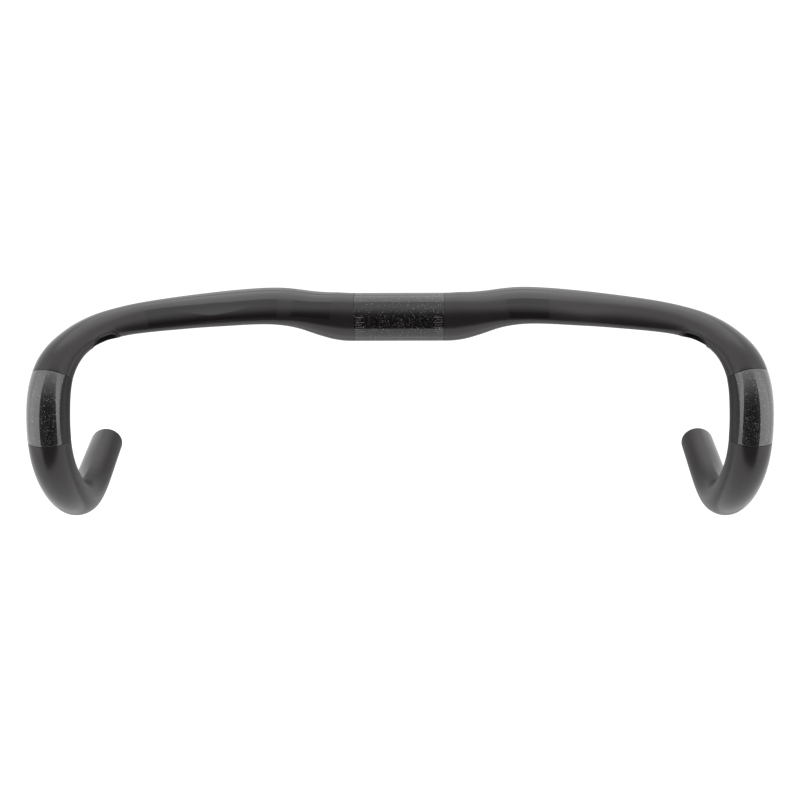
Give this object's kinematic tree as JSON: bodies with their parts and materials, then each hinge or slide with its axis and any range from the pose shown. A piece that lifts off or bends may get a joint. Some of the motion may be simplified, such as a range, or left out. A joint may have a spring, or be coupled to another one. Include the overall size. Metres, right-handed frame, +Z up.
{
  "type": "drop handlebar",
  "caption": "Road bicycle drop handlebar in moulded carbon: round clamp zone, flattened wing tops, short-reach flared hooks, grit bands, cable ports and expanding end plugs.",
  "frame": {"origin": "centre of the stem clamp zone, on its axis", "axes": "+X across the bar to the side drawn as right_, -Y forwards to the hooks, +Z up, with the drops close to level"},
  "size_m": [0.4998, 0.16, 0.156],
  "materials": {
    "carbon": "satin-matte black moulded carbon",
    "grit": "clear-coated fine black grit",
    "trim": "satin moulded rim",
    "liner": "plain extruded liner",
    "plug_plastic": "fine-textured moulding",
    "plug_rubber": "matte",
    "steel": "zinc-plated"
  },
  "bodies": {
    "bar": {"top_section": "carbon", "right_drop": "carbon", "right_joint_sleeve": "carbon", "right_lever_grip_band": "grit", "right_port_grommet": "trim", "right_exit_grommet": "trim", "right_cable_guide": "liner", "left_drop": "carbon", "left_joint_sleeve": "carbon", "left_lever_grip_band": "grit", "left_port_grommet": "trim", "left_exit_grommet": "trim", "left_cable_guide": "liner", "clamp_grip_band": "grit"},
    "right_plug": {"right_plug_cap": "plug_plastic", "right_plug_sleeve": "plug_rubber"},
    "right_plug_screw": {"right_plug_screw": "steel"},
    "right_plug_wedge": {"right_plug_wedge": "plug_plastic"},
    "left_plug": {"left_plug_cap": "plug_plastic", "left_plug_sleeve": "plug_rubber"},
    "left_plug_screw": {"left_plug_screw": "steel"},
    "left_plug_wedge": {"left_plug_wedge": "plug_plastic"}
  },
  "joints": [
    {"name": "right_plug_pull", "type": "slide", "parent": "bar", "child": "right_plug", "axis": [0.1741, 0.9791, 0.1048], "range_m": [0, 0.035]},
    {"name": "right_screw_turn", "type": "hinge", "parent": "right_plug", "child": "right_plug_screw", "pos_m": [0.2382, 0.0687, -0.1186], "axis": [0.1741, 0.9791, 0.1048], "range_deg": [0, 1800]},
    {"name": "right_wedge_travel", "type": "slide", "parent": "right_plug", "child": "right_plug_wedge", "axis": [-0.1741, -0.9791, -0.1048], "range_m": [0, 0.004]},
    {"name": "left_plug_pull", "type": "slide", "parent": "bar", "child": "left_plug", "axis": [-0.1741, 0.9791, 0.1048], "range_m": [0, 0.035]},
    {"name": "left_screw_turn", "type": "hinge", "parent": "left_plug", "child": "left_plug_screw", "pos_m": [-0.2382, 0.0687, -0.1186], "axis": [-0.1741, 0.9791, 0.1048], "range_deg": [0, 1800]},
    {"name": "left_wedge_travel", "type": "slide", "parent": "left_plug", "child": "left_plug_wedge", "axis": [0.1741, -0.9791, -0.1048], "range_m": [0, 0.004]}
  ],
  "couplings": [
    {"joint": "right_screw_turn", "follows": "right_wedge_travel", "rad_per_m": 7853.2},
    {"joint": "left_screw_turn", "follows": "left_wedge_travel", "rad_per_m": 7853.2}
  ]
}
